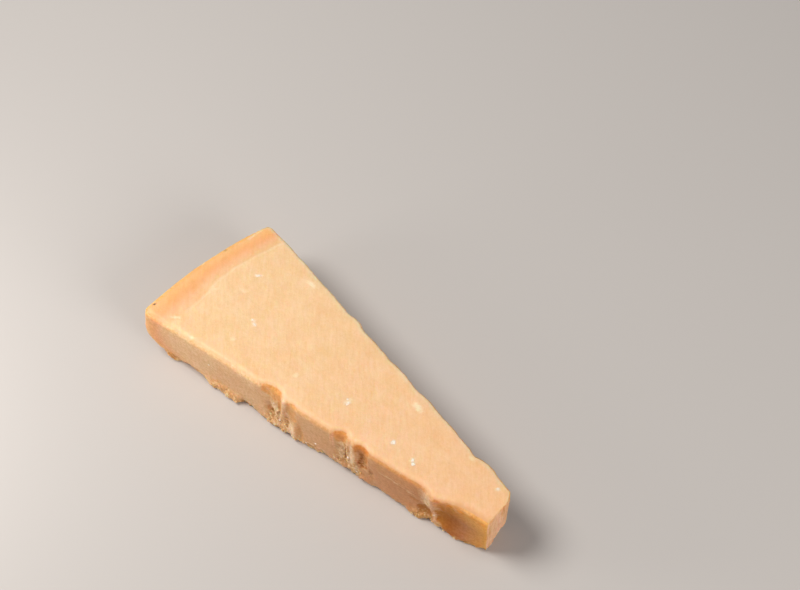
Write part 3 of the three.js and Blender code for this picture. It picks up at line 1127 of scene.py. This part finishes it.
# On the top: along, across, half the length and width, and the turn.
Crystal = namedtuple("Crystal", "along across length width turn")
TOP_CRYSTALS = [
    Crystal(24.9, 12.2, 0.9, 0.45, 43.0),
    Crystal(38.4, -4.5, 0.6, 0.4, 0.0),
    Crystal(40.7, -5.6, 0.8, 0.5, -20.0),
    Crystal(94.6, -5.2, 0.9, 0.6, 100.0),
    Crystal(93.2, -3.9, 0.5, 0.4, 30.0),
    Crystal(120.2, -5.3, 1.0, 0.95, 0.0),
    Crystal(131.2, -5.6, 0.8, 0.6, 120.0),
    Crystal(132.6, -6.9, 0.85, 0.7, 60.0),
    Crystal(164.4, 8.5, 0.6, 0.4, 43.0),
]
# On the sides: the side, along, up and half the size.
SIDE_CRYSTALS = [
    (FRONT, 68.4, 19.5, 0.5),
    (FRONT, 71.2, 8.0, 0.5),
    (FRONT, 90.0, 9.0, 0.6),
    (FRONT, 85.0, 4.0, 0.5),
    (FRONT, 106.3, 15.0, 0.6),
    (FRONT, 110.3, 6.5, 0.6),
    (FRONT, 148.0, 10.0, 0.5),
    (FRONT, 35.0, 18.0, 0.5),
    (BACK, 25.0, 12.0, 0.7),
    (BACK, 48.0, 21.0, 0.6),
    (BACK, 66.0, 14.0, 0.6),
    (BACK, 92.0, 9.0, 0.7),
    (BACK, 110.0, 18.0, 0.6),
    (BACK, 133.0, 22.0, 0.5),
    (BACK, 147.0, 8.0, 0.6),
]


def add_lump(bm, detail, middle, sizes, turn, seed, uneven, cut=1.0):
    """An uneven lump with half sizes along its own axes, cut flat at a share of its height."""
    made = bmesh.ops.create_icosphere(bm, subdivisions=detail, radius=1.0)["verts"]
    for vert in made:
        vert.co *= 1.0 + uneven * noise.noise(vert.co * 1.7 + Vector((seed, 0.0, 0.0)))
        vert.co.z = min(vert.co.z, cut)
        vert.co = Vector(value * size for value, size in zip(vert.co, sizes))
    bmesh.ops.transform(bm, matrix=Matrix.Translation(middle) @ turn, verts=made)


finished_paste = BVHTree.FromPolygons(
    [vert.co for vert in paste.data.vertices], [polygon.vertices for polygon in paste.data.polygons]
)

# A crystal cut by the blade ends at a share of its half height, a little proud of the top.
FLUSH_CUT = 0.4
HALF_HEIGHT = 0.6 * MM
PROUD = 0.06 * MM
# A crystal in a break has its middle this deep.
SET_IN = 0.25 * MM

bm = bmesh.new()
for i, crystal in enumerate(TOP_CRYSTALS):
    above = Vector((low.x + crystal.along * MM, crystal.across * MM, high.z + 5.0 * MM))
    face, _, _, _ = finished_paste.ray_cast(above, Vector((0.0, 0.0, -1.0)))
    turn = Matrix.Rotation(math.radians(crystal.turn), 4, "Z")
    middle = face - Vector((0.0, 0.0, FLUSH_CUT * HALF_HEIGHT - PROUD))
    sizes = (crystal.length * MM, crystal.width * MM, HALF_HEIGHT)
    add_lump(bm, 3, middle, sizes, turn, 11.0 * i, 0.5, cut=FLUSH_CUT)
for i, (side, along, up, size) in enumerate(SIDE_CRYSTALS):
    spot, normal = hit_from_outside(finished_paste, side, along, up)
    turn = Matrix.Rotation(1.3 * i, 4, "Z")
    sizes = (size * MM, 0.8 * size * MM, 0.7 * size * MM)
    add_lump(bm, 3, spot - normal * SET_IN, sizes, turn, 7.0 * i + 3.0, 0.5)
crystals = piece_from(bm, "crystals")
crystals.data.shade_smooth()

# Chalky white crystals: bright, a little see-through, duller than glass.
material, tree = new_material("Chalky white crystals")
place = add_node(tree, "ShaderNodeTexCoord")
cloud = add_node(
    tree, "ShaderNodeTexNoise", {"Vector": (place, "Object"), "Scale": 1 / (0.8 * MM), "Detail": 2.0}
)
whites = add_node(
    tree, "ShaderNodeValToRGB", {"Fac": (cloud, "Fac")}, stops=[(0.35, "#f7e0c4"), (0.6, "#fbf0e2")]
)
chalk_bump = add_node(
    tree, "ShaderNodeBump", {"Height": (cloud, "Fac"), "Strength": 0.6, "Distance": 0.1 * MM}
)
shader = add_node(
    tree,
    "ShaderNodeBsdfPrincipled",
    {
        "Base Color": (whites, "Color"),
        "Roughness": 0.5,
        "IOR": 1.5,
        "Normal": (chalk_bump, "Normal"),
        "Subsurface Weight": 0.3,
        "Subsurface Radius": (1.0, 0.8, 0.6),
        "Subsurface Scale": 0.5 * MM,
    },
)
add_node(tree, "ShaderNodeOutputMaterial", {"Surface": (shader, "BSDF")})
crystals.data.materials.append(material)
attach(crystals, "root")


# --- The crumbs -------------------------------------------------------------------------------
# Grains of paste that still cling to the breaks and along the crumbled foot, each sunk for
# about half its depth. They are angular, as the brittle paste parts between its crystals.

random.seed(23)
CRUMB_SIZES = (0.3, 0.75)
LOWEST_CRUMB = 0.4
# A stretch of a side, its height and how many crumbs it holds.
CRUMB_STRETCHES = [
    (FRONT, 12.0, 20.0, 2.5, 5),
    (FRONT, 24.0, 60.0, 2.0, 12),
    (FRONT, 63.0, 82.0, 9.0, 26),
    (FRONT, 82.0, 98.0, 3.5, 14),
    (FRONT, 99.0, 113.0, 16.0, 26),
    (FRONT, 118.0, 138.0, 2.0, 6),
    (FRONT, 138.0, 149.0, 9.0, 16),
    (FRONT, 150.0, 169.0, 1.8, 6),
    (BACK, 18.0, 58.0, 2.0, 14),
    (BACK, 58.0, 78.0, 12.0, 24),
    (BACK, 78.0, 104.0, 2.0, 10),
    (BACK, 104.0, 116.0, 14.0, 22),
    (BACK, 140.0, 151.0, 14.0, 18),
    (BACK, 151.0, 168.0, 2.0, 6),
]

bm = bmesh.new()
for side, start, end, top, count in CRUMB_STRETCHES:
    for _ in range(count):
        along = random.uniform(start, end)
        up = LOWEST_CRUMB + (top - LOWEST_CRUMB) * random.random() ** 1.3
        size = random.uniform(*CRUMB_SIZES)
        sizes = [size * random.uniform(0.7, 1.25) * MM for _ in range(3)]
        axis = Vector((random.random(), random.random(), 1.0))
        turn = Matrix.Rotation(random.uniform(0.0, math.tau), 4, axis)
        seed = random.uniform(0.0, 50.0)
        spot, normal = hit_from_outside(finished_paste, side, along, up)
        if spot is not None:
            add_lump(bm, 1, spot - normal * (0.2 * size * MM), sizes, turn, seed, 0.6)
keep_in_box(bm)
crumbs = piece_from(bm, "crumbs")

# Crumbled paste: dry, powdery and paler than a cut face.
material, tree = new_material("Crumbled paste, dry and matt")
place = add_node(tree, "ShaderNodeTexCoord")
cloud = add_node(
    tree, "ShaderNodeTexNoise", {"Vector": (place, "Object"), "Scale": 1 / (2.0 * MM), "Detail": 2.0}
)
crumb_tone = add_node(
    tree, "ShaderNodeValToRGB", {"Fac": (cloud, "Fac")}, stops=[(0.35, "#dca46c"), (0.65, "#efcb9c")]
)
crumb_bump = add_node(
    tree, "ShaderNodeBump", {"Height": (cloud, "Fac"), "Strength": 0.6, "Distance": 0.1 * MM}
)
shader = add_node(
    tree,
    "ShaderNodeBsdfPrincipled",
    {
        "Base Color": (crumb_tone, "Color"),
        "Roughness": 0.75,
        "IOR": 1.45,
        "Normal": (crumb_bump, "Normal"),
        "Subsurface Weight": 0.6,
        "Subsurface Radius": (1.0, 0.45, 0.2),
        "Subsurface Scale": 1.5 * MM,
    },
)
add_node(tree, "ShaderNodeOutputMaterial", {"Surface": (shader, "BSDF")})
crumbs.data.materials.append(material)
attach(crumbs, "root")


# --- Stage, lights and camera ---------------------------------------------------------------
# A plain pale floor, one large soft light high on the side of the rind, a small low one near
# the rind that fades along the front side, and a weak fill from the side of the tip.

FLOOR_HALF = 3.0
FLOOR_GAP = 0.05 * MM
bm = bmesh.new()
under_base = Matrix.Translation((0.0, 0.0, -FLOOR_GAP))
bmesh.ops.create_grid(bm, x_segments=1, y_segments=1, size=FLOOR_HALF, matrix=under_base)
floor = piece_from(bm, "floor")
floor_material = bpy.data.materials.new("Pale matt card")
floor_material.use_nodes = True
floor_shader = floor_material.node_tree.nodes["Principled BSDF"]
floor_shader.inputs["Base Color"].default_value = linear("#c2bcb7")
floor_shader.inputs["Roughness"].default_value = 0.9
floor.data.materials.append(floor_material)

world = bpy.data.worlds.new("Soft room light")
world.use_nodes = True
world.node_tree.nodes["Background"].inputs["Color"].default_value = linear("#eef1f6")
world.node_tree.nodes["Background"].inputs["Strength"].default_value = 0.22
scene.world = world
scene.view_settings.view_transform = "Standard"


def add_area_light(name, position, size, power, colour):
    """Adds a round soft light that points at the middle of the frame."""
    light = bpy.data.lights.new(name, "AREA")
    light.shape = "DISK"
    light.size = size
    light.energy = power
    light.color = colour
    holder = bpy.data.objects.new(name, light)
    holder.location = position
    holder.rotation_euler = (-Vector(position)).to_track_quat("-Z", "Y").to_euler()
    scene.collection.objects.link(holder)


add_area_light("Key", (-0.58, -0.30, 1.0), 0.6, 11.9, (1.0, 0.98, 0.95))
add_area_light("Low light by the rind", (-0.2, -0.2, 0.1), 0.12, 0.205, (1.0, 0.97, 0.94))
add_area_light("Fill", (0.9, 0.0, 0.5), 0.6, 4.5, (1.0, 0.97, 0.94))

CAMERA_AZIMUTH = math.radians(43.26)
CAMERA_ELEVATION = math.radians(60.0)
CAMERA_DISTANCE = 0.7946
CAMERA_AIM = Vector((-0.0227, 0.0591, 0.0))
camera = bpy.data.objects.new("Camera", bpy.data.cameras.new("Camera"))
camera.data.lens = 81.0
camera.data.sensor_width = 36.0
back = Vector((
    math.sin(CAMERA_AZIMUTH) * math.cos(CAMERA_ELEVATION),
    -math.cos(CAMERA_AZIMUTH) * math.cos(CAMERA_ELEVATION),
    math.sin(CAMERA_ELEVATION),
))
camera.location = CAMERA_AIM + back * CAMERA_DISTANCE
camera.rotation_euler = (-back).to_track_quat("-Z", "Y").to_euler()
scene.collection.objects.link(camera)
scene.camera = camera
